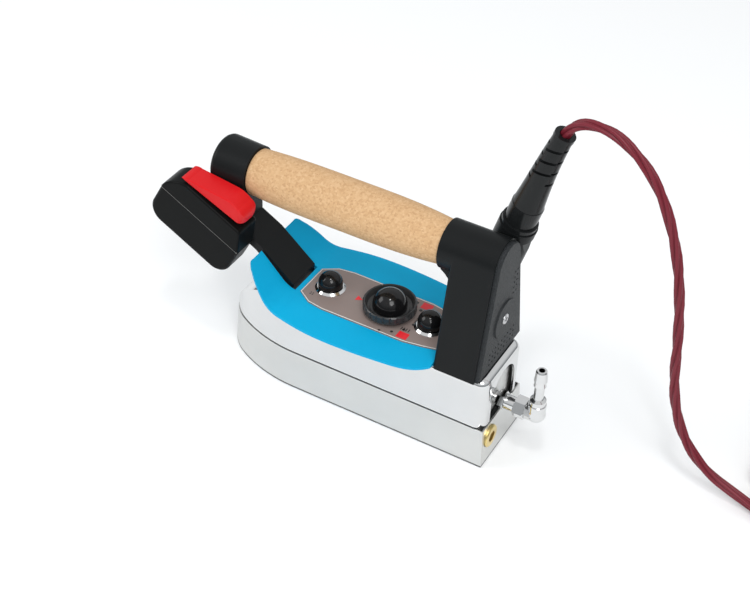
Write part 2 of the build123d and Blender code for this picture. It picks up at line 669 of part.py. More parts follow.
with BuildPart() as switch_lid:
    with BuildSketch(box_side):
        with BuildLine():
            Polyline((-8.0, -LID_DEPTH + 0.4), (-2.5, -3.0))
            ThreePointArc((-2.5, -3.0), (-1.3, -0.9), (1.5, 0))
            Line((1.5, 0), (46.5, 0))
            ThreePointArc((46.5, 0), (56.0, -5.6), (BOX_LONG, -LID_DEPTH + 0.4))
            Line((BOX_LONG, -LID_DEPTH + 0.4), (-8.0, -LID_DEPTH + 0.4))
        make_face()
    extrude(amount=BOX_THICK)
    lid_edges = switch_lid.faces().filter_by(Axis.Y).edges()
    fillet(lid_edges.sort_by(SortBy.LENGTH)[:-2], radius=1.5)
    with BuildSketch(across(SHELL)):
        with BuildLine():
            Polyline((-5.9, -LID_DEPTH), (-0.7, -3.4), (1.9, -SHELL), (45.5, -SHELL), (53.6, -6.6),
                     (BOX_LONG - 2.8, -LID_DEPTH), (-5.9, -LID_DEPTH))
        make_face()
    extrude(amount=BOX_THICK - 2 * SHELL, mode=Mode.SUBTRACT)
    # Slot for the button's stem and hinge ears.
    with BuildSketch(across(7.5)):
        with BuildLine():
            Polyline((SLOT_ALONG[0], -4), (SLOT_ALONG[1], -4), (SLOT_ALONG[1], 2), (SLOT_ALONG[0], 2),
                     (SLOT_ALONG[0], -4))
        make_face()
    extrude(amount=7.0, mode=Mode.SUBTRACT)
    with BuildSketch(across(5.5)):
        with BuildLine():
            Polyline((44.5, -7), (54.0, -7), (54.0, 2), (44.5, 2), (44.5, -7))
        make_face()
    extrude(amount=11.0, mode=Mode.SUBTRACT)
    # Blind holes that hold the ends of the hinge pin.
    with BuildSketch(across(1.0)):
        with Locations(PIVOT):
            Circle(PIN_R)
    extrude(amount=BOX_THICK - 2.0, mode=Mode.SUBTRACT)
save(switch_lid, "switch_lid")

with BuildPart() as switch_base:
    with BuildSketch(box_side):
        with BuildLine():
            Line((BOX_LONG, -LID_DEPTH - 0.4), (BOX_LONG, -36.0))
            ThreePointArc((BOX_LONG, -36.0), (58.4, -44.0), (50.0, -BOX_DEPTH))
            Line((50.0, -BOX_DEPTH), (2.5, -BOX_DEPTH))
            ThreePointArc((2.5, -BOX_DEPTH), (-5.2, -43.9), (-8.5, -36.0))
            Line((-8.5, -36.0), (-8.3, -LID_DEPTH - 0.4))
            Line((-8.3, -LID_DEPTH - 0.4), (BOX_LONG, -LID_DEPTH - 0.4))
        make_face()
    extrude(amount=BOX_THICK)
    base_edges = switch_base.faces().filter_by(Axis.Y).edges()
    fillet(base_edges.sort_by(SortBy.LENGTH)[:-2], radius=2.5)
    with BuildSketch(across(SHELL)):
        with BuildLine():
            Polyline((BOX_LONG - 2.2, -LID_DEPTH), (BOX_LONG - 2.2, -35.4), (56.6, -42.2), (49.4, -45.2),
                     (3.2, -45.2), (-3.5, -42.0), (-6.2, -35.6), (-6.2, -LID_DEPTH),
                     (BOX_LONG - 2.2, -LID_DEPTH))
        make_face()
    extrude(amount=BOX_THICK - 2 * SHELL, mode=Mode.SUBTRACT)
save(switch_base, "switch_base")

with BuildPart() as box_joint:
    # Tongue between the two shells, which shows as a pale line.
    with BuildSketch(across(0.3)):
        with Locations((27.1, -LID_DEPTH)):
            Rectangle(2 * 34.6, 0.8)
    extrude(amount=BOX_THICK - 0.6)
    with BuildSketch(across(SHELL)):
        with Locations((27.1, -LID_DEPTH)):
            Rectangle(2 * 32.6, 2)
    extrude(amount=BOX_THICK - 2 * SHELL, mode=Mode.SUBTRACT)
save(box_joint, "box_joint")

with BuildPart() as red_button:
    with BuildSketch(across(2.2)):
        with BuildLine():
            Polyline((53.4, 0.5), (47.0, 0.5), (3.6, 3.5))
            ThreePointArc((3.6, 3.5), (1.4, 4.6), (0.4, 6.6))
            ThreePointArc((0.4, 6.6), (3.0, 11.6), (9.0, 14.0))
            ThreePointArc((9.0, 14.0), (14.0, 14.8), (20.0, 14.0))
            Line((20.0, 14.0), (48.0, 3.4))
            ThreePointArc((48.0, 3.4), (52.0, 1.9), (53.4, 0.5))
        make_face()
    extrude(amount=BOX_THICK - 4.4)
    top_rim = red_button.faces().filter_by(Axis.Y).edges()
    fillet(top_rim, radius=0.8)
    # Seen from above, its rear end is well rounded.
    with BuildSketch(Plane(origin=box_at(0, -2), x_dir=box_along, z_dir=box_side.y_dir)) as plan:
        with Locations((26.9, -BOX_THICK / 2)):
            Rectangle(53.4, BOX_THICK - 4.4)
        fillet(plan.vertices().sort_by(Axis.X)[:2], radius=7.0)
    extrude(amount=20, mode=Mode.INTERSECT)
    # Stem that reaches the microswitch through the lid.
    with BuildSketch(across(8.3)):
        with BuildLine():
            Polyline((22.0, -6.2), (30.0, -6.2), (30.0, 2.5), (22.0, 2.5), (22.0, -6.2))
        make_face()
    extrude(amount=5.4)
    # Hinge ear on the pin.
    with BuildSketch(across(7.0)):
        with Locations(PIVOT):
            Circle(2.6)
        with Locations((PIVOT[0], PIVOT[1] + 2.6)):
            Rectangle(5.2, 5.2)
    extrude(amount=8.0)
    with BuildSketch(across(0)):
        with Locations(PIVOT):
            Circle(PIN_R + 0.05)
    extrude(amount=BOX_THICK, mode=Mode.SUBTRACT)
save(red_button, "red_button")

with BuildPart() as button_pin:
    with BuildSketch(across(1.0)):
        with Locations(PIVOT):
            Circle(PIN_R)
    extrude(amount=BOX_THICK - 2.0)
save(button_pin, "button_pin")

PLUNGER_ALONG = 26.0
with BuildPart() as microswitch_body:
    with BuildSketch(across(6.0)):
        with Locations((PLUNGER_ALONG - 5, -17.6)):
            Rectangle(28, 16)
        with Locations((PLUNGER_ALONG - 16, -22), (PLUNGER_ALONG + 6, -14)):
            Circle(1.6, mode=Mode.SUBTRACT)
    extrude(amount=10.3)
    with BuildSketch(across(11.15 - 1.55)):
        with Locations((PLUNGER_ALONG, -11.6)):
            Rectangle(3.1, 4.2)
    extrude(amount=3.1, mode=Mode.SUBTRACT)
    # Terminals.
    with BuildSketch(across(8.0)):
        with Locations((PLUNGER_ALONG - 15, -28), (PLUNGER_ALONG - 5, -28), (PLUNGER_ALONG + 6, -28)):
            Rectangle(0.9, 7)
    extrude(amount=6.0)
save(microswitch_body, "microswitch_body")

with BuildPart() as switch_plunger:
    with BuildSketch(across(11.15 - 1.5)):
        with Locations((PLUNGER_ALONG, -9.25)):
            Rectangle(3.0, 5.5)
    extrude(amount=3.0)
save(switch_plunger, "switch_plunger")
print("button pivot", box_at(*PIVOT, BOX_THICK / 2), "box direction", box_along)

with BuildPart() as switch_bracket:
    with BuildSketch(across(BOX_THICK)):
        with Locations((16, -29)):
            RectangleRounded(34, 15, 2)
    extrude(amount=BOX_FAR - ARM_HALF)
save(switch_bracket, "switch_bracket")

# ---------------------------------------------------------------- steam inlet and plug
def hexagon_nut(start, length, across_flats, bore_r):
    """A hexagon nut on the inlet's axis, from start towards the rear, with turned ends."""
    with BuildPart() as nut:
        with BuildSketch(Plane.YZ.offset(start)):
            with Locations((INLET_Y, INLET_Z)):
                RegularPolygon(across_flats / 2, 6, major_radius=False)
        extrude(amount=-length)
        with BuildSketch(Plane.XZ.offset(-INLET_Y)):
            with BuildLine():
                reach = across_flats / 2 * 1.155 + 0.2
                Polyline((start + 0.1, INLET_Z), (start + 0.1, INLET_Z + reach - 0.9),
                         (start - 0.9, INLET_Z + reach), (start - length + 0.9, INLET_Z + reach),
                         (start - length - 0.1, INLET_Z + reach - 0.9), (start - length - 0.1, INLET_Z),
                         (start + 0.1, INLET_Z))
            make_face()
        revolve(axis=Axis((0, INLET_Y, INLET_Z), (1, 0, 0)), mode=Mode.INTERSECT)
        with BuildSketch(Plane.YZ.offset(start + 1)):
            with Locations((INLET_Y, INLET_Z)):
                Circle(bore_r)
        extrude(amount=-length - 2, mode=Mode.SUBTRACT)
    return nut


with BuildPart() as steam_adapter:
    with BuildSketch(Plane.YZ.offset(20)):
        with Locations((INLET_Y, INLET_Z)):
            Circle(4.5)
            Circle(2.2, mode=Mode.SUBTRACT)
    extrude(amount=-36)
    with BuildSketch(Plane.YZ.offset(-2.5)):
        with Locations((INLET_Y, INLET_Z)):
            Circle(5.6)
            Circle(4.5, mode=Mode.SUBTRACT)
    extrude(amount=-7)
save(steam_adapter, "steam_adapter")

save(hexagon_nut(3.5, 5.5, 12.0, 4.6), "lock_nut")
save(hexagon_nut(-9.7, 8.0, 14.0, 4.6), "union_nut")

BARB_TOP = 82.0
with BuildPart() as steam_elbow:
    with BuildSketch(Plane.YZ.offset(-17.7)):
        with Locations((INLET_Y, INLET_Z)):
            RegularPolygon(6.4, 8)
    extrude(amount=ELBOW_X + 18.7)
    with Locations((ELBOW_X, INLET_Y, INLET_Z)):
        Sphere(6.6)
    with BuildSketch(Plane.XY.offset(INLET_Z)):
        with Locations((ELBOW_X, INLET_Y)):
            Circle(6.2)
    extrude(amount=9)
    with BuildSketch(Plane.YZ.offset(-15)):
        with Locations((INLET_Y, INLET_Z)):
            Circle(2.2)
    extrude(amount=ELBOW_X + 15, mode=Mode.SUBTRACT)
    with BuildSketch(Plane.XY.offset(INLET_Z)):
        with Locations((ELBOW_X, INLET_Y)):
            Circle(2.2)
    extrude(amount=12, mode=Mode.SUBTRACT)
save(steam_elbow, "steam_elbow")

with BuildPart() as hose_barb:
    with BuildSketch(Plane.XZ.offset(-INLET_Y)):
        with BuildLine():
            foot = INLET_Z + 9
            Polyline((ELBOW_X + 2.2, foot), (ELBOW_X + 5.6, foot), (ELBOW_X + 5.6, foot + 4),
                     (ELBOW_X + 3.5, foot + 5), (ELBOW_X + 3.5, foot + 16), (ELBOW_X + 4.4, foot + 17),
                     (ELBOW_X + 3.5, foot + 21), (ELBOW_X + 4.6, foot + 21.5), (ELBOW_X + 4.0, BARB_TOP - 1),
                     (ELBOW_X + 3.4, BARB_TOP), (ELBOW_X + 2.2, BARB_TOP), (ELBOW_X + 2.2, foot))
        make_face()
    revolve(axis=Axis((ELBOW_X, INLET_Y, 0), (0, 0, 1)))
save(hose_barb, "hose_barb")

with BuildPart() as brass_plug:
    with BuildSketch(Plane.YZ.offset(2.4)):
        with Locations((17.6, 19.8)):
            Circle(6.55)
    extrude(amount=10)
    with BuildSketch(Plane.YZ.offset(2.4)):
        with Locations((17.6, 19.8)):
            Circle(8.3)
    extrude(amount=-3.0)
    chamfer(brass_plug.faces().sort_by(Axis.X)[0].edges(), length=0.6)
    with BuildSketch(Plane.YZ.offset(-1)):
        with Locations((17.6, 19.8)):
            RegularPolygon(4.6, 6)
    extrude(amount=6, mode=Mode.SUBTRACT)
save(brass_plug, "brass_plug")

# ---------------------------------------------------------------- cable relief
NECK_LONG = 18.0
neck_top = RELIEF_MOUTH + RELIEF_WAY * NECK_LONG
with BuildPart() as relief_neck:
    with BuildSketch(relief_plane.offset(43.5)):
        Circle(12.4)
    extrude(amount=3.5)
    with BuildSketch(relief_plane.offset(43.5)):
        Circle(10.9)
    extrude(amount=NECK_LONG)
    with BuildSketch(relief_plane.offset(43.5)):
        Circle(4.2)
    extrude(amount=NECK_LONG, mode=Mode.SUBTRACT)
save(relief_neck, "relief_neck")

boot_joint = neck_top + RELIEF_WAY * 20
exit_point = Vector(-7.7, RELIEF_Y, 243.9)
with BuildPart() as strain_boot:
    with BuildLine() as spine:
        straight = Line(neck_top, boot_joint)
        curve = TangentArc(boot_joint, exit_point, tangent=RELIEF_WAY)
    exit_way = curve % 1
    with BuildSketch(Plane(origin=neck_top, z_dir=RELIEF_WAY)):
        Circle(10.6)
    with BuildSketch(Plane(origin=boot_joint, z_dir=RELIEF_WAY)):
        Circle(8.8)
    with BuildSketch(Plane(origin=curve @ 0.5, z_dir=curve % 0.5)):
        Circle(7.6)
    with BuildSketch(Plane(origin=exit_point, z_dir=exit_way)):
        Circle(6.6)
    loft()
    # Slots that let the boot bend, cut from two sides in turn.
    for step in range(7):
        at = 0.1 + 0.12 * step
        half_turn = 90 * (step % 2)
        slot_plane = Plane(origin=curve @ at, z_dir=curve % at).rotated((0, 0, half_turn))
        with BuildSketch(slot_plane):
            with Locations((7.6, 0), (-7.6, 0)):
                Rectangle(4.4, 16)
        extrude(amount=1.8, mode=Mode.SUBTRACT)
save(strain_boot, "strain_boot")

with BuildPart() as boot_ring:
    with BuildSketch(Plane(origin=exit_point, z_dir=exit_way)):
        Circle(7.1)
        Circle(4.0, mode=Mode.SUBTRACT)
    extrude(amount=3.0)
save(boot_ring, "boot_ring")

# ---------------------------------------------------------------- cord
# The cord leaves the boot, turns back and falls behind the iron, then lies on the floor.
COIL_LOW, COIL_HIGH = 1.1, 16.1
COIL_HALF = 11.6            # half the coil's radial width
LAYER_LOW, LAYER_HIGH = 4.9, 12.3
cord_route = [
    (-7.7, -26.0, 243.9), (-11.1, -26.0, 253.3), (-24.4, -26.2, 260.3), (-46.1, -26.4, 256.5),
    (-72.8, -26.2, 232.4), (-92.4, -25.6, 186.4), (-101.8, -25.4, 133.2), (-105.4, -26.0, 81.3),
    (-117.8, -27.6, 43.3), (-138.4, -29.6, 18.8), (-162.5, -29.8, 9.0), (-184.0, -25.9, 5.2),
    (-202.0, -22.9, 4.6), (-218.0, -22.4, LAYER_LOW),
]
# The tail climbs off the coil's outer track, curls inwards over the turns and meets the plug.
tail_route = [
    (-264.1, -79.2, 13.4), (-264.8, -86.8, 15.0), (-260.6, -95.8, 17.8), (-251.6, -101.8, 19.8),
    (-243.0, -104.0, 20.5), (-233.5, -104.0, 21.6),
]


def corner_radii(route):
    """Largest tangent arcs: 0.45 of the shorter run over the tangent of half the turn."""
    spots = [Vector(*spot) for spot in route]
    radii = []
    for before, here, after in zip(spots, spots[1:], spots[2:]):
        turn = (here - before).get_angle(after - here)
        shorter = min((here - before).length, (after - here).length)
        radii.append(0.45 * shorter / tan(radians(turn / 2)))
    return radii


def cord_tube(route, name):
    """The cord's solid along straight runs joined by tangent arcs."""
    radii = corner_radii(route)
    with BuildPart() as tube:
        with BuildLine() as path:
            FilletPolyline(*route, radius=radii)
        centre = path.wires()[0]
        with BuildSketch(Plane(origin=centre @ 0, z_dir=centre % 0)):
            Circle(CORD_R)
        sweep()
    length = centre.length
    print(name, "length", round(length, 1), "radii", [round(r, 1) for r in radii],
          "volume ratio", round(tube.part.volume / (pi * CORD_R**2 * length), 4))
    return tube


save(cord_tube(cord_route, "cord"), "cord")
save(cord_tube(tail_route, "cord_tail"), "cord_tail")

with BuildPart() as cord_coil:
    with BuildSketch(Plane.XY.offset(COIL_LOW)):
        with Locations(COIL_CENTRE):
            Circle(COIL_R + COIL_HALF)
            Circle(COIL_R - COIL_HALF, mode=Mode.SUBTRACT)
    extrude(amount=COIL_HIGH - COIL_LOW)
    fillet(cord_coil.edges(), radius=3.4)
save(cord_coil, "cord_coil")

TIE_ANGLE = 20.0
tie_plane = Plane(origin=(COIL_CENTRE[0], COIL_CENTRE[1], 0),
                  x_dir=(cos(radians(TIE_ANGLE)), sin(radians(TIE_ANGLE)), 0),
                  z_dir=(sin(radians(TIE_ANGLE)), -cos(radians(TIE_ANGLE)), 0))
with BuildPart() as coil_tie:
    with BuildSketch(tie_plane.offset(-4)):
        with Locations((COIL_R, (COIL_LOW + COIL_HIGH) / 2)):
            RectangleRounded(2 * COIL_HALF + 3.2, COIL_HIGH - COIL_LOW + 2.2, 4)
            RectangleRounded(2 * COIL_HALF + 1.2, COIL_HIGH - COIL_LOW + 0.1, 3, mode=Mode.SUBTRACT)
    extrude(amount=8)
save(coil_tie, "coil_tie")

# ---------------------------------------------------------------- plug
# The plug lies on the coil on its sleeve and on its rim, so its pins tip up a little.
# Its plane's x runs along the plug, from the sleeve's end towards the pins.
PLUG_TILT = 15.6
plug_way = Vector(cos(radians(PLUG_TILT)), 0, sin(radians(PLUG_TILT)))
plug_plane = Plane(origin=(-235.1, -104.0, 21.1), x_dir=plug_way, z_dir=(0, -1, 0))
plug_axis = Axis(plug_plane.origin, plug_way)
with BuildPart() as plug_boot:
    with BuildSketch(plug_plane):
        with BuildLine():
            Polyline((0, 3.9), (0, 5.0), (22, 7.4), (22, 3.9), (0, 3.9))
        make_face()
    revolve(axis=plug_axis)
save(plug_boot, "plug_boot")

with BuildPart() as plug_body:
    with BuildSketch(plug_plane):
        with BuildLine():
            Polyline((22, 0), (22, 9.0), (24, 10.5), (42, 13.5), (48, 18.4), (56, 18.4), (57, 17.4), (57, 0),
                     (22, 0))
        make_face()
    revolve(axis=plug_axis)
save(plug_body, "plug_body")

for number, side in enumerate((-9.5, 9.5), start=1):
    with BuildPart() as plug_pin:
        with BuildSketch(Plane(origin=plug_plane.origin + plug_way * 57, x_dir=(0, 1, 0), z_dir=plug_way)):
            with Locations((side, 0)):
                Circle(2.4)
        extrude(amount=19)
        fillet(plug_pin.faces().sort_by(Axis.X)[-1].edges(), radius=1.8)
    save(plug_pin, f"plug_pin_{number}")
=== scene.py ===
# %% [markdown]
# # A steam generator iron
#
# This lesson dresses a finished CAD model of a professional steam iron: a narrow alloy sole, a chromed
# cover, a blue heat shield, a cork grip, a thumb switch and a mains cable. The CAD gives every piece its
# place. We load it as a fixed frame and never move it. The work here is surfaces. Most pieces keep their
# CAD shape and get a finish. One cable, worked out with numpy, takes the place of three CAD pieces, and the
# print on the label is added.

import bpy
import numpy as np
from mathutils import Matrix, Vector


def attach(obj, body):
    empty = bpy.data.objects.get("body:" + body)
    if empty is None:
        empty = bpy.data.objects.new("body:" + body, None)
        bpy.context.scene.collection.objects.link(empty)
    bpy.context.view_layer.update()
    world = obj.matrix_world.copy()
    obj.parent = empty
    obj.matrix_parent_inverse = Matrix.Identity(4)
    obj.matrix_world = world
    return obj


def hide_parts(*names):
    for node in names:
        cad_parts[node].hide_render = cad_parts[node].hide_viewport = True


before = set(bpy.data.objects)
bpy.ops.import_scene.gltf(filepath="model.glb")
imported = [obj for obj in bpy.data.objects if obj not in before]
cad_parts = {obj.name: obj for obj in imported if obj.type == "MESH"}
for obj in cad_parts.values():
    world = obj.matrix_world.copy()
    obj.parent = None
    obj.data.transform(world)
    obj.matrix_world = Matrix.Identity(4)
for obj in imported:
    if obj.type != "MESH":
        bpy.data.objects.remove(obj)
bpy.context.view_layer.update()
MM = 0.001

# %% [markdown]
# ## Camera
#
# The iron is seen from behind its heel, on the operator's left, and from about 40 degrees above the table.
# A camera can be aimed with a Track To constraint or given its axes directly. The axes are written out
# here, because three vectors also hold the small roll of a hand-held view, which aiming at a target would
# lose. A long lens, 72 mm on a 36 mm sensor, keeps the sole's long edges nearly parallel.

# %% The camera
camera = bpy.data.objects.new("camera", bpy.data.cameras.new("camera"))
bpy.context.scene.collection.objects.link(camera)
bpy.context.scene.camera = camera
camera.data.lens = 72
camera.data.sensor_width = 36
camera.data.clip_start, camera.data.clip_end = 0.05, 20
camera_right = (-0.8645, -0.5018, 0.0289)
camera_down = (-0.3435, 0.5478, -0.7628)
camera_ahead = (0.3669, -0.6694, -0.6460)
camera_axes = np.array([camera_right, np.negative(camera_down), np.negative(camera_ahead)]).T
camera.matrix_world = Matrix.Translation((-0.27705, 0.69607, 0.75430)) @ Matrix(camera_axes.tolist()).to_4x4()
print("camera at", [round(x, 3) for x in camera.matrix_world.translation])

# %% [markdown]
# ## Shapes as arrays
#
# The cable is a grid: one array of points with a row for each step along it and a column for each step
# round it. One function lists the grid's faces, wrapped round where the surface joins itself. Another
# closes its two ends, and a third makes any points and faces an object. Working on whole arrays is fast,
# and the formula stays readable.

# %% Points and faces become an object
def mesh_piece(name, points, faces, material, smooth=True):
    """An object from points (metres) and faces (rows of point numbers, one array per face size).

    It rides the body of the iron and takes the material it is given.
    """
    mesh = bpy.data.meshes.new(name)
    mesh.from_pydata(points.reshape(-1, 3).tolist(), [], [row for block in faces for row in block.tolist()])
    mesh.polygons.foreach_set("use_smooth", np.full(len(mesh.polygons), smooth))
    mesh.materials.append(material)
    mesh.update()
    piece = bpy.data.objects.new(name, mesh)
    bpy.context.scene.collection.objects.link(piece)
    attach(piece, "iron")
    return piece


def ring_faces(rows, columns):
    """Quads of a grid whose last column joins its first.

    Point (i, j) joins (i + 1, j), (i + 1, j + 1) and (i, j + 1).
    """
    numbers = np.arange(rows * columns).reshape(rows, columns)
    numbers = np.hstack([numbers, numbers[:, :1]])
    corners = [numbers[:-1, :-1], numbers[1:, :-1], numbers[1:, 1:], numbers[:-1, 1:]]
    return np.stack(corners, -1).reshape(-1, 4)


def end_caps(rows, columns):
    """One many-sided face over each end of a tube: the first row forwards and the last row backwards."""
    return [np.arange(columns)[None, :], (np.arange(columns)[::-1] + (rows - 1) * columns)[None, :]]


def along_path(path, reference):
    """Tangent, and two normals across it, at each point of a path.

    The tangent is the central difference. The first normal is the reference vector with its part along the
    tangent taken away, and the second is the cross product of the two.
    """
    tangent = np.gradient(path, axis=0)
    tangent /= np.linalg.norm(tangent, axis=1)[:, None]
    first = reference - (reference * tangent).sum(1)[:, None] * tangent
    first /= np.linalg.norm(first, axis=1)[:, None]
    return tangent, first, np.cross(tangent, first)

# %% [markdown]
# ## Shader maths as Python
#
# A finish is a small sum, such as a roughness plus a share of some noise. Linking Math nodes by hand hides
# that sum, so one class wraps a socket and overloads the operators. `1 - mask` then adds the node that it
# says. Any other node comes from one method, which sets the node's own options first and its sockets after
# them.

# %% Sockets with operators
class Wire:
    """One output socket. +, -, * and > add a Math node each."""

    def __init__(self, finish, socket):
        self.finish, self.socket = finish, socket

    def maths(self, operation, first, second):
        return self.finish.node("ShaderNodeMath", {"operation": operation}, {0: first, 1: second})

    def __add__(self, other):
        return self.maths("ADD", self, other)

    def __radd__(self, other):
        return self.maths("ADD", other, self)

    def __sub__(self, other):
        return self.maths("SUBTRACT", self, other)

    def __rsub__(self, other):
        return self.maths("SUBTRACT", other, self)

    def __mul__(self, other):
        return self.maths("MULTIPLY", self, other)

    def __rmul__(self, other):
        return self.maths("MULTIPLY", other, self)

    def __gt__(self, other):
        return self.maths("GREATER_THAN", self, other)


class Finish:
    """A material being made. Patterns read Object coordinates, which are metres in the part's frame."""

    def __init__(self, name):
        self.material = bpy.data.materials.new(name)
        self.material.use_nodes = True
        self.nodes, self.links = self.material.node_tree.nodes, self.material.node_tree.links
        self.nodes.clear()
        output = self.nodes.new("ShaderNodeOutputMaterial")
        self.shader = self.nodes.new("ShaderNodeBsdfPrincipled")
        self.links.new(self.shader.outputs[0], output.inputs[0])
        self.place = self.node("ShaderNodeTexCoord", {}, {}, "Object")

    def join(self, socket, value):
        if isinstance(value, Wire):
            self.links.new(value.socket, socket)
        else:
            socket.default_value = value

    def node(self, kind, settings, sockets, output=0):
        """Add one node: its settings first, then a value or a Wire for each named or numbered socket."""
        made = self.nodes.new(kind)
        for key, value in settings.items():
            if key == "stops":
                while len(made.color_ramp.elements) < len(value):
                    made.color_ramp.elements.new(1)
                for element, (position, colour) in zip(made.color_ramp.elements, value):
                    element.position, element.color = position, (*colour, 1)
            else:
                setattr(made, key, value)
        for key, value in sockets.items():
            self.join(made.inputs[key], value)
        return Wire(self, made.outputs[output])

    def stretched(self, scale):
        """The Object coordinates times a factor on each axis: below one, a pattern gets longer there."""
        return self.node("ShaderNodeMapping", {}, {"Vector": self.place, "Scale": scale})

    def noise(self, scale, detail, vector=None):
        """Soft cloudy noise from 0 to 1, with this many clouds to the metre."""
        sockets = {"Vector": vector or self.place, "Scale": scale, "Detail": detail, "Roughness": 0.5}
        return self.node("ShaderNodeTexNoise", {}, sockets, "Fac")

    def cells(self, scale, output="Distance", feature="F1"):
        """Voronoi cells: the distance to the nearest seed, or one colour for each cell."""
        sockets = {"Vector": self.place, "Scale": scale}
        return self.node("ShaderNodeTexVoronoi", {"feature": feature}, sockets, output)

    def ramp(self, value, *stops):
        """Colour stops along a value."""
        return self.node("ShaderNodeValToRGB", {"stops": stops}, {"Fac": value})

    def mix(self, mask, first, second):
        """First colour where the mask is 0 and second where it is 1."""
        colours = [c if isinstance(c, Wire) else (*c, 1) for c in (first, second)]
        sockets = {0: mask, 6: colours[0], 7: colours[1]}
        return self.node("ShaderNodeMix", {"data_type": "RGBA"}, sockets, 2)

    def bump(self, height, depth):
        """Tilt the surface's normal by a height field whose full range is depth metres."""
        sockets = {"Height": height, "Distance": depth, "Strength": 1.0}
        self.join(self.shader.inputs["Normal"], self.node("ShaderNodeBump", {}, sockets, "Normal"))

    def surface(self, **values):
        """Set the shader's sockets by name, with _ for a space, and return the material."""
        for key, value in values.items():
            if isinstance(value, tuple):
                value = (*value, 1)
            self.join(self.shader.inputs[key.replace("_", " ")], value)
        return self.material

# %% [markdown]
# ## Metals
#
# Polished metal shows what is round it, so its own colour matters less than its roughness. Wiping and
# handling leave faint clouds on chrome, and a cast and ground alloy has a fine grain. In each metal a noise
# shifts the roughness a little, because a metal with one perfectly even roughness looks like a drawing.

# %% Metals
# The sole's lowest rim is painted dark: a painted contact shadow where the sole meets the table.
CONTACT_SHADOW_HEIGHT = 0.0011                # metres: below this height the sole's edge is dark


def cast_alloy():
    """Pale ground aluminium: cloudy grey, a fine grain, and a painted contact shadow, a dark band along the
    lowest millimetre.
    """
    finish = Finish("sole_alloy")
    clouds = finish.noise(28, 4)
    grain = finish.noise(160, 3, finish.stretched((0.15, 1, 1)))
    height = finish.node("ShaderNodeSeparateXYZ", {}, {0: finish.place}, 2)
    finish.bump(grain, 0.00008)
    bright = finish.mix(clouds, (0.60, 0.605, 0.595), (0.69, 0.69, 0.675))
    # Painted shadow: below the contact shadow height the base colour turns dark, standing in for the shade
    # under the sole's edge.
    return finish.surface(Base_Color=finish.mix(height > CONTACT_SHADOW_HEIGHT, (0.13, 0.13, 0.13), bright), Metallic=1.0,
                          Roughness=0.26 + 0.16 * grain)


def chrome():
    """Bright plating with faint wiping clouds in its roughness."""
    finish = Finish("chrome_plate")
    clouds = finish.noise(45, 4)
    tone = finish.mix(clouds, (0.66, 0.665, 0.665), (0.725, 0.725, 0.725))
    return finish.surface(Base_Color=tone, Metallic=1.0, Roughness=0.05 + 0.07 * clouds)


def turned_steel():
    """Plain machined steel: darker than chrome, with fine scratches across the X axis."""
    finish = Finish("turned_steel")
    scratches = finish.noise(420, 2, finish.stretched((1, 0.2, 0.2)))
    tone = finish.mix(scratches, (0.46, 0.46, 0.47), (0.60, 0.60, 0.61))
    return finish.surface(Base_Color=tone, Metallic=1.0, Roughness=0.22 + 0.18 * scratches)


def yellow_brass():
    """Machined brass, a little dulled."""
    finish = Finish("yellow_brass")
    clouds = finish.noise(220, 4)
    tone = finish.mix(clouds, (0.62, 0.45, 0.14), (0.90, 0.74, 0.36))
    return finish.surface(Base_Color=tone, Metallic=1.0, Roughness=0.20 + 0.25 * clouds)


METAL = {"alloy": cast_alloy(), "chrome": chrome(), "steel": turned_steel(), "brass": yellow_brass()}
print("metals", sorted(METAL))

# %% [markdown]
# ## Plastics, rubber and cork
#
# Moulded black parts differ mostly by their tool: polished for the dial and the nuts, spark-eroded for the
# column and the switch box, and a coarse leather grain for the rear plate. Grain is a change in height, so
# it goes through a Bump node. On the rear plate the same field also lightens the peaks. Cork is ground bark
# pressed in resin: Voronoi cells give each granule its own tint.

# %% Plastics, rubber and cork
def moulded(name, colour, rough, grain_scale=2600, grain_depth=0.00002, wear=0.25, gloss=0.5):
    """Injection-moulded plastic: an even colour, slightly lighter clouds, and a fine grain.

    The grain's scale is in grains to the metre and its depth in metres. Wear lightens the clouds.
    """
    finish = Finish(name)
    grain = finish.noise(grain_scale, 2)
    clouds = finish.noise(30, 3)
    lighter = tuple(c + wear * 0.06 + wear * 0.15 * c for c in colour)
    finish.bump(grain, grain_depth)
    return finish.surface(Base_Color=finish.mix(clouds, colour, lighter),
                          Roughness=rough + 0.10 * (clouds - 0.5), Specular_IOR_Level=gloss)


def leather_grain():
    """The rear plate's coarse grain: rounded cells with dark valleys."""
    finish = Finish("grained_plate")
    cells = finish.cells(1250, feature="SMOOTH_F1")
    finish.bump(1 - cells, 0.00030)
    tone = finish.mix(cells, (0.032, 0.036, 0.039), (0.006, 0.007, 0.008))
    return finish.surface(Base_Color=tone, Roughness=0.5, Specular_IOR_Level=0.2)


def pressed_cork():
    """Granules of slightly different tans, with a few dark bark specks."""
    finish = Finish("pressed_cork")
    warp = finish.noise(900, 2)
    granule = finish.cells(820, "Color")
    tint = finish.node("ShaderNodeSeparateColor", {}, {0: granule}, 0)
    tan = finish.ramp(tint, (0.0, (0.50, 0.300, 0.150)), (0.3, (0.565, 0.355, 0.185)),
                      (0.7, (0.60, 0.385, 0.207)), (1.0, (0.635, 0.425, 0.24)))
    specks = finish.cells(430, "Distance")
    dark = (warp > 0.62) * (1 - (specks > 0.26))
    finish.bump(warp, 0.00006)
    return finish.surface(Base_Color=finish.mix(dark * 0.4, tan, (0.46, 0.25, 0.12)),
                          Roughness=0.66 + 0.2 * warp, Specular_IOR_Level=0.2)


def sheet_blue():
    """The shield's laminate: saturated cyan blue, faintly mottled, with a soft gloss."""
    finish = Finish("blue_sheet")
    mottle = finish.noise(420, 4)
    clouds = finish.noise(14, 2)
    finish.bump(mottle, 0.00003)
    tone = clouds * 0.7 + mottle * 0.3
    return finish.surface(Base_Color=finish.mix(tone, (0.001, 0.340, 0.620), (0.003, 0.430, 0.730)),
                          Roughness=0.40 + 0.12 * mottle, Specular_IOR_Level=0.10)


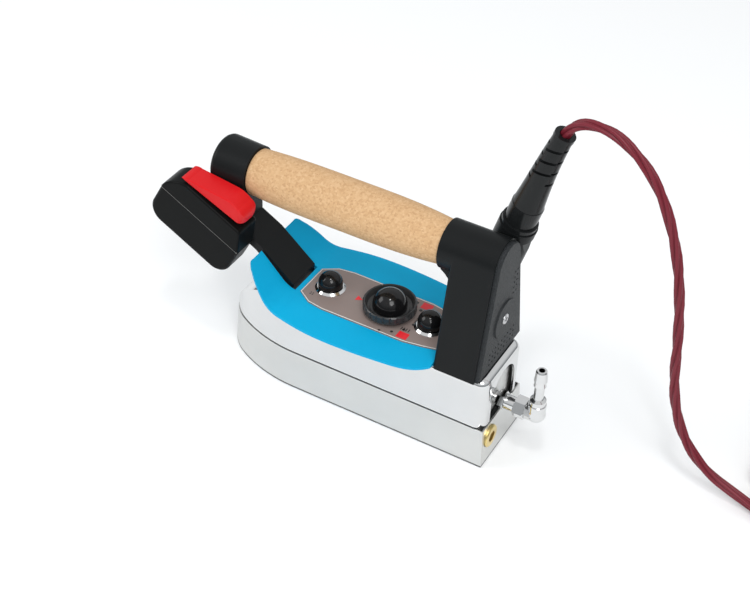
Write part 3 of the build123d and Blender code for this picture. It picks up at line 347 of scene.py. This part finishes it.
# Colour, roughness, grain scale, grain depth, wear and gloss. What a row leaves out keeps its usual value.
MOULDED = {
    "gloss_black": ((0.004, 0.004, 0.0045), 0.12, 900, 0.000004, 0.1, 0.30),
    "satin_black": ((0.006, 0.007, 0.0075), 0.36, 2600, 0.00002, 0.05, 0.14),
    "box_black": ((0.004, 0.0045, 0.0045), 0.34, 1900, 0.00002, 0.03, 0.07),
    "seam_grey": ((0.20, 0.20, 0.19), 0.5),
    "button_red": ((0.60, 0.006, 0.009), 0.30, 1500, 0.00002, 0.15, 0.15),
    "label_grey": ((0.235, 0.185, 0.170), 0.40, 3200, 0.00001, 0.2, 0.4),
    "ink_red": ((0.72, 0.008, 0.018), 0.40),
    "ink_black": ((0.012, 0.012, 0.012), 0.45),
    "ink_white": ((0.72, 0.72, 0.70), 0.45),
    "cable_red": ((0.15, 0.007, 0.018), 0.36, 1200, 0.00002, 0.3, 0.25),
    "rubber_black": ((0.007, 0.008, 0.0085), 0.30, 1700, 0.00002, 0.08, 0.20),
    "sleeve_rubber": ((0.007, 0.008, 0.0085), 0.20, 1700, 0.00001, 0.08, 0.20),
    "dial_black": ((0.030, 0.031, 0.032), 0.26, 900, 0.00001, 0.1, 0.35),
    "inner_cream": ((0.62, 0.58, 0.48), 0.5),
}
PLASTIC = {name: moulded(name, *values) for name, values in MOULDED.items()}
PLASTIC.update(grained=leather_grain(), cork=pressed_cork(), blue=sheet_blue())
print("plastics", sorted(PLASTIC))

# %% [markdown]
# ## Finishes for the CAD pieces
#
# A CAD piece whose shape is right stays as it is. Its materials are cleared and one finish takes their
# place, which is all that changes.

# %% Dress the CAD pieces
DRESS = {
    METAL["alloy"]: ["sole_block", "chamber_plate", "inlet_plate"],
    METAL["chrome"]: ["chrome_cover", "cup_washer_front", "cup_washer_rear", "steam_adapter", "lock_nut",
                      "union_nut", "steam_elbow", "hose_barb"],
    METAL["steel"]: ["heater_element", "chamber_screw_1", "chamber_screw_2", "chamber_screw_3",
                     "thermostat_body", "stud_front", "stud_rear", "shield_spacer_front",
                     "shield_spacer_rear", "dial_shaft", "plate_screw", "tie_rod", "button_pin",
                     "switch_bracket"],
    METAL["brass"]: ["brass_plug", "plug_pin_1", "plug_pin_2"],
    PLASTIC["gloss_black"]: ["acorn_nut_front", "acorn_nut_rear", "dial_knob"],
    PLASTIC["dial_black"]: ["dial_skirt"],
    PLASTIC["sleeve_rubber"]: ["strain_boot", "relief_neck", "boot_ring"],
    PLASTIC["satin_black"]: ["column_shell", "front_cap", "front_arm", "microswitch_body"],
    PLASTIC["box_black"]: ["switch_lid", "switch_base"],
    PLASTIC["seam_grey"]: ["box_joint"],
    PLASTIC["grained"]: ["column_plate"],
    PLASTIC["cork"]: ["cork_grip"],
    PLASTIC["blue"]: ["heat_shield"],
    PLASTIC["button_red"]: ["red_button", "switch_plunger"],
    PLASTIC["label_grey"]: ["label_plate"],
    PLASTIC["cable_red"]: ["cord", "cord_tail", "cord_coil"],
    PLASTIC["rubber_black"]: ["plug_boot", "plug_body", "cover_seal", "column_gasket"],
    PLASTIC["inner_cream"]: ["terminal_block", "thermal_fuse", "coil_tie"],
}
for material, names in DRESS.items():
    for name in names:
        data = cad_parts[name].data
        data.materials.clear()
        data.materials.append(material)
dressed = sum(len(names) for names in DRESS.values())
print("dressed", dressed, "of", len(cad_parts))

# %% [markdown]
# ## Print on the label
#
# The print is plain: a border, two squares, a pointer, dots round the dial for the heat settings and two
# small scales. Each mark is a flat face a few hundredths of a millimetre above the plate. At that distance
# it looks printed, and its edge stays sharp at any zoom, which a painted texture would not.

# %% Marks
LABEL_TOP = 78.1
INK = 0.05                  # height of the print above the plate
DIAL_X = 92.6
DOT_RING = 21.6


def marks(name, outlines, material):
    """Flat polygons (lists of x, y in millimetres, counter-clockwise) printed on the label."""
    flat = np.concatenate([np.asarray(outline, float) for outline in outlines])
    points = np.column_stack([flat, np.full(len(flat), LABEL_TOP + INK)]) * MM
    starts = np.concatenate([[0], np.cumsum([len(outline) for outline in outlines])])
    faces = [np.arange(first, last)[None, :] for first, last in zip(starts, starts[1:])]
    mesh_piece(name, points, faces, material, smooth=False)


def disc(x, y, radius, sides=20):
    """A regular polygon that stands for a circle."""
    turn = np.linspace(0, 2 * np.pi, sides, endpoint=False)
    return np.column_stack([x + radius * np.cos(turn), y + radius * np.sin(turn)])


def bar(x, y, length, width):
    """A rectangle centred on x and y."""
    return np.array([x, y]) + np.array([[-1, -1], [1, -1], [1, 1], [-1, 1]]) * [length / 2, width / 2]


# Two runs of dots behind the dial, each dot larger than the one before it.
heat = np.radians(np.concatenate([np.arange(100, 171, 23), np.arange(190, 261, 23)]))
dots = [disc(DIAL_X + DOT_RING * np.cos(turn), DOT_RING * np.sin(turn), size)
        for turn, size in zip(heat, np.linspace(1.0, 1.4, len(heat)))]
# The two small scales are four bars, and four dots in a square.
scale = [bar(71.0 + 1.9 * step, 11.4, 0.7, 3.2) for step in range(4)]
scale += [disc(147.4 + 1.8 * step, 11.6 + 1.6 * row, 0.55) for step in range(2) for row in range(2)]
marks("label_dots", dots + scale, PLASTIC["ink_black"])
# The border follows the plate's edge: each corner moves in along the mean normal of its two sides.
BORDER_OUTER, BORDER_INNER = 0.4, 1.1       # distances from the plate's edge
half_edge = np.array([(42.4, 17), (56, 20.5), (70, 23), (134, 23.4), (146, 21.5), (156.5, 14.5)])
edge = np.vstack([half_edge * [1, -1], half_edge[::-1]])
sides = np.roll(edge, -1, axis=0) - edge
inwards = np.column_stack([-sides[:, 1], sides[:, 0]]) / np.linalg.norm(sides, axis=1)[:, None]
inwards = (inwards + np.roll(inwards, 1, axis=0)) / 2
border = np.stack([edge + BORDER_INNER * inwards, edge + BORDER_OUTER * inwards])
mesh_piece("label_border", np.dstack([border, np.full(border.shape[:2], LABEL_TOP + INK)]) * MM,
           [ring_faces(2, len(edge))], PLASTIC["ink_white"], smooth=False)
marks("label_squares", [bar(72.5, 17.6, 8, 6.5), bar(72.5, -17.6, 8, 6.5),
                        [(114.2, 0.0), (119.2, -2.6), (119.2, 2.6)]], PLASTIC["ink_red"])
print("marks", len(dots) + len(scale) + 3)

# %% [markdown]
# ## The mains cable
#
# Four insulated wires leave the boot side by side, with a slow twist and no outer sheath. A cable is
# flexible and keeps its length, so its line comes first: a NURBS spline whose control points are the CAD
# route, then the turns of the coil that puts the spare length away, then the run to the plug. NURBS is used
# because it rounds every corner of the route by itself. The coil's turns lie on three tracks and in two
# layers. The cable runs inwards on the lower layer, climbs over itself, and runs outwards on the upper one.

# %% The cable's line
CORD_R = 3.6
COIL_CENTRE = (-218.0, -70.0)
TRACKS = (47.6, 40.0, 32.4)     # radii of the coil's turns
TRACK_ORDER = (0, 1, 2, 1, 0)
LAYERS = (4.9, 12.3)            # heights of the coil's turns
LIFT = 1.1                      # rise over the coil's last part, towards the plug
ROUTE = [
    (-7.7, -26.0, 243.9), (-11.1, -26.0, 253.3), (-24.4, -26.2, 260.3), (-46.1, -26.4, 256.5),
    (-72.8, -26.2, 232.4), (-92.4, -25.6, 186.4), (-101.8, -25.4, 133.2), (-105.4, -26.0, 81.3),
    (-117.8, -27.6, 43.3), (-138.4, -29.6, 18.8), (-162.5, -29.8, 9.0), (-184.0, -25.9, 5.2),
    (-202.0, -22.9, 4.6),
]
TAIL = [(-264.8, -86.8, 15.0), (-260.6, -95.8, 17.8), (-251.6, -101.8, 19.8), (-243.0, -104.0, 20.5),
        (-233.5, -104.0, 21.6)]
# The coil in degrees: its two ends, where it starts each change of track, its climb to the upper layer and
# its lift towards the plug, then the length of a change and the step between two control points.
COIL_START, COIL_END = 90.0, 1993.0
TRACK_STARTS = (375, 735, 1335, 1695)
CLIMB_START, LIFT_START = 1035, 1950
CHANGE = 60
COIL_STEP = 15.0


def coil_points():
    """The coil's control points: radius and height are steps with a straight ramp between them."""
    angle = np.linspace(COIL_START, COIL_END, round((COIL_END - COIL_START) / COIL_STEP) + 1)
    radius = np.interp(angle, [start + run for start in TRACK_STARTS for run in (0, CHANGE)],
                       [TRACKS[track] for pair in zip(TRACK_ORDER, TRACK_ORDER[1:]) for track in pair])
    height = np.interp(angle, [CLIMB_START, CLIMB_START + CHANGE, LIFT_START, COIL_END],
                       [*LAYERS, LAYERS[1], LAYERS[1] + LIFT])
    turn = np.radians(angle)
    x, y = COIL_CENTRE
    return np.column_stack([x + radius * np.cos(turn), y + radius * np.sin(turn), height])


def nurbs_line(name, points):
    """A NURBS spline of order 3 through its two end points, read back as the points of its smooth line."""
    curve = bpy.data.curves.new(name, "CURVE")
    curve.dimensions = "3D"
    curve.resolution_u = 6
    spline = curve.splines.new("NURBS")
    spline.points.add(len(points) - 1)
    spline.points.foreach_set("co", np.column_stack([points, np.ones(len(points))]).ravel())
    spline.order_u = 3
    spline.use_endpoint_u = True
    holder = bpy.data.objects.new(name, curve)
    line = bpy.data.meshes.new_from_object(holder)
    flat = np.empty(len(line.vertices) * 3)
    line.vertices.foreach_get("co", flat)
    bpy.data.objects.remove(holder)
    return flat.reshape(-1, 3)


control = np.vstack([ROUTE, coil_points(), TAIL]) * MM
cable_line = nurbs_line("cable_line", control)

# %% [markdown]
# ### Four wires in one skin
#
# Each wire is a circle, and four circles that touch make a clover. In polar form the clover's edge has a
# closed formula, so one tube with a clover section that turns slowly along the line shows all four wires.
# Four separate tubes would also do, but they would add hidden faces where they touch.

# %% The cable's body
def clover(angle, outer):
    """Distance to the edge of four touching circles, at each angle.

    With ring radius d, wire radius a and p the angle from the nearest wire, it is
    d cos(p) + sqrt(a**2 - d**2 sin(p)**2).
    """
    wire = outer / (1 + np.sqrt(2))
    ring = outer - wire
    part = (angle + np.pi / 4) % (np.pi / 2) - np.pi / 4
    return ring * np.cos(part) + np.sqrt(np.maximum(wire**2 - (ring * np.sin(part))**2, 0))


SECTION_SIDES = 40
TWIST_PITCH = 0.11          # metres of cable for one whole turn of the wires
FALL_END, TURN_OVER = 0.30, 0.06    # where the falling part ends, and the length that turns the reference
around = np.linspace(0, 2 * np.pi, SECTION_SIDES, endpoint=False)
travel = np.concatenate([[0], np.cumsum(np.linalg.norm(np.diff(cable_line, axis=0), axis=1))])
# Across the cable: the Y axis while it falls, then the Z axis once it lies on the floor.
lying = np.clip((travel - FALL_END) / TURN_OVER, 0, 1)[:, None]
reference = (1 - lying) * np.array([0, 1, 0]) + lying * np.array([0, 0, 1])
tangent, normal, binormal = along_path(cable_line, reference)
twist = 2 * np.pi * travel / TWIST_PITCH
spread = clover(around, CORD_R * MM)[None, :, None]
turned = around[None, :] + twist[:, None]
rings = (cable_line[:, None] + spread * (np.cos(turned)[..., None] * normal[:, None]
                                         + np.sin(turned)[..., None] * binormal[:, None]))
grid = (len(rings), SECTION_SIDES)
cable = mesh_piece("mains_cable", rings, [ring_faces(*grid), *end_caps(*grid)], PLASTIC["cable_red"])
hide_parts("cord", "cord_coil", "cord_tail")
print("cable faces", len(cable.data.polygons))

# %% [markdown]
# ## Table, light and surroundings
#
# Chrome looks white only if something white is round it, so the iron stands on a pale floor under a pale
# sky. Two large panels light the piece. Two small ones add highlights: one from above on the domed nuts,
# and one from behind on the cable's black sleeve.

# %% Floor, sky and panels
FLOOR_HALF = 4
FLOOR_Z = -0.0004           # a little below the sole, so that the two faces don't share one plane
floor_corners = [(FLOOR_HALF * x, FLOOR_HALF * y, FLOOR_Z) for x, y in ((-1, -1), (1, -1), (1, 1), (-1, 1))]
floor_mesh = bpy.data.meshes.new("floor")
floor_mesh.from_pydata(floor_corners, [], [(0, 1, 2, 3)])
floor = bpy.data.objects.new("floor", floor_mesh)
bpy.context.scene.collection.objects.link(floor)
floor_finish = Finish("white_floor")
floor_mesh.materials.append(floor_finish.surface(Base_Color=(0.93, 0.94, 0.945), Roughness=0.9,
                                                 Specular_IOR_Level=0.1))

world = bpy.data.worlds.new("pale_sky")
bpy.context.scene.world = world
world.use_nodes = True
background = world.node_tree.nodes["Background"]
background.inputs["Strength"].default_value = 0.82
# The sky darkens towards the horizon, so that round chrome shows a dark band and reads as metal.
# Each stop is the upward part of the direction, and the colour there.
SKY = ((0.02, (0.20, 0.22, 0.23)), (0.45, (0.90, 0.92, 0.94)), (1.0, (1, 1, 1)))
direction = world.node_tree.nodes.new("ShaderNodeTexCoord")
parts = world.node_tree.nodes.new("ShaderNodeSeparateXYZ")
shade = world.node_tree.nodes.new("ShaderNodeValToRGB")
for element, (height, colour) in zip([*shade.color_ramp.elements, shade.color_ramp.elements.new(1)], SKY):
    element.position, element.color = height, (*colour, 1)
world.node_tree.links.new(direction.outputs["Generated"], parts.inputs[0])
world.node_tree.links.new(parts.outputs[2], shade.inputs[0])
world.node_tree.links.new(shade.outputs[0], background.inputs["Color"])
bpy.context.scene.view_settings.view_transform = "Standard"


def panel(name, place, aim, size, power):
    """A square area light at a place, turned so that its -Z axis points at the aim."""
    light = bpy.data.lights.new(name, "AREA")
    light.size, light.energy = size, power
    holder = bpy.data.objects.new(name, light)
    bpy.context.scene.collection.objects.link(holder)
    holder.location = place
    ray = np.array(aim, float) - place
    holder.rotation_mode = "QUATERNION"
    holder.rotation_quaternion = Vector(ray).to_track_quat("-Z", "Y")


middle = (0.1, 0.0, 0.08)
panel("key_panel", (-0.9, 1.1, 1.6), middle, 0.9, 16)
panel("side_panel", (1.4, 0.7, 1.0), middle, 0.8, 7)
panel("strip_panel", (-0.55, 0.75, 0.75), (0.0, -0.02, 0.2), 0.10, 0.6)
panel("spot_panel", (-0.15, 0.45, 1.5), middle, 0.16, 3)
